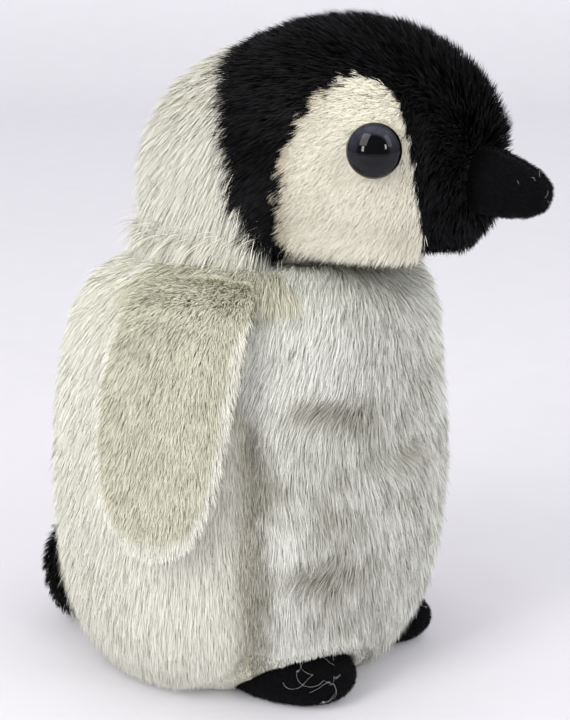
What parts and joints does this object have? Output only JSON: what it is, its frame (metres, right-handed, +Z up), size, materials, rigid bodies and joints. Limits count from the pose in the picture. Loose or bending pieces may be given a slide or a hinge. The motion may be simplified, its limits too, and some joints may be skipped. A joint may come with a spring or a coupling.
{
  "type": "plush penguin",
  "caption": "Standing plush penguin chick with pile fur, black hood, felt beak and feet, glossy eyes, flapping wings, a soft neck and a hanging tail flap.",
  "frame": {"origin": "on the ground, under the middle of the bounding box", "axes": "+Z up; -Y is the way the penguin faces, towards the beak; +X is the penguin's own left"},
  "size_m": [0.1454, 0.1597, 0.1935],
  "materials": {
    "grey_fur": "long silvery grey pile over taupe roots",
    "cream_fur": "long cream pile",
    "nape_fur": "long cream grey pile",
    "black_fur": "black pile",
    "ivory_fur": "short dense ivory pile",
    "taupe_fur": "short taupe pile",
    "black_felt": "black felt",
    "eye_lens": "polished slate grey and black",
    "eye_plastic": "black",
    "stuffing": "white polyester fibre",
    "pellet_cloth": "plain woven bag of pellets"
  },
  "bodies": {
    "torso": {"belly_panel": "grey_fur", "back_left_panel": "cream_fur", "back_right_panel": "cream_fur", "base_panel": "grey_fur", "torso_stuffing": "stuffing", "pellet_bag": "pellet_cloth", "foot_left_sole": "black_felt", "foot_left_upper": "black_felt", "foot_left_stuffing": "stuffing", "foot_right_sole": "black_felt", "foot_right_upper": "black_felt", "foot_right_stuffing": "stuffing"},
    "neck": {"neck_stuffing": "stuffing"},
    "head": {"nape_panel": "nape_fur", "hood_left_panel": "black_fur", "hood_right_panel": "black_fur", "cheek_left_panel": "ivory_fur", "cheek_right_panel": "ivory_fur", "head_stuffing": "stuffing", "eye_left_dome": "eye_lens", "eye_left_stem": "eye_plastic", "eye_left_washer": "eye_plastic", "eye_right_dome": "eye_lens", "eye_right_stem": "eye_plastic", "eye_right_washer": "eye_plastic", "beak_left_felt": "black_felt", "beak_right_felt": "black_felt", "beak_stuffing": "stuffing"},
    "left_wing": {"wing_left_outer": "taupe_fur", "wing_left_inner": "cream_fur", "wing_left_stuffing": "stuffing"},
    "right_wing": {"wing_right_outer": "taupe_fur", "wing_right_inner": "cream_fur", "wing_right_stuffing": "stuffing"},
    "tail": {"tail_outer": "black_fur", "tail_inner": "black_felt", "tail_stuffing": "stuffing"}
  },
  "joints": [
    {"name": "head_turn", "type": "hinge", "parent": "torso", "child": "neck", "pos_m": [0, 0.00495, 0.128], "axis": [0, 0, 1], "range_deg": [-18, 18], "stiffness_Nm_per_rad": 0.4},
    {"name": "head_nod", "type": "hinge", "parent": "neck", "child": "head", "pos_m": [0, 0.00495, 0.128], "axis": [1, 0, 0], "range_deg": [-6, 6], "stiffness_Nm_per_rad": 0.4},
    {"name": "left_wing_flap", "type": "hinge", "parent": "torso", "child": "left_wing", "pos_m": [0.04319, 0.00084, 0.125], "axis": [-0.1564, -0.9877, 0], "range_deg": [0, 70]},
    {"name": "right_wing_flap", "type": "hinge", "parent": "torso", "child": "right_wing", "pos_m": [-0.04319, 0.00084, 0.125], "axis": [-0.1564, 0.9877, 0], "range_deg": [0, 70]},
    {"name": "tail_flap", "type": "hinge", "parent": "torso", "child": "tail", "pos_m": [0, 0.07625, 0.033], "axis": [1, 0, 0], "range_deg": [0, 40]}
  ]
}
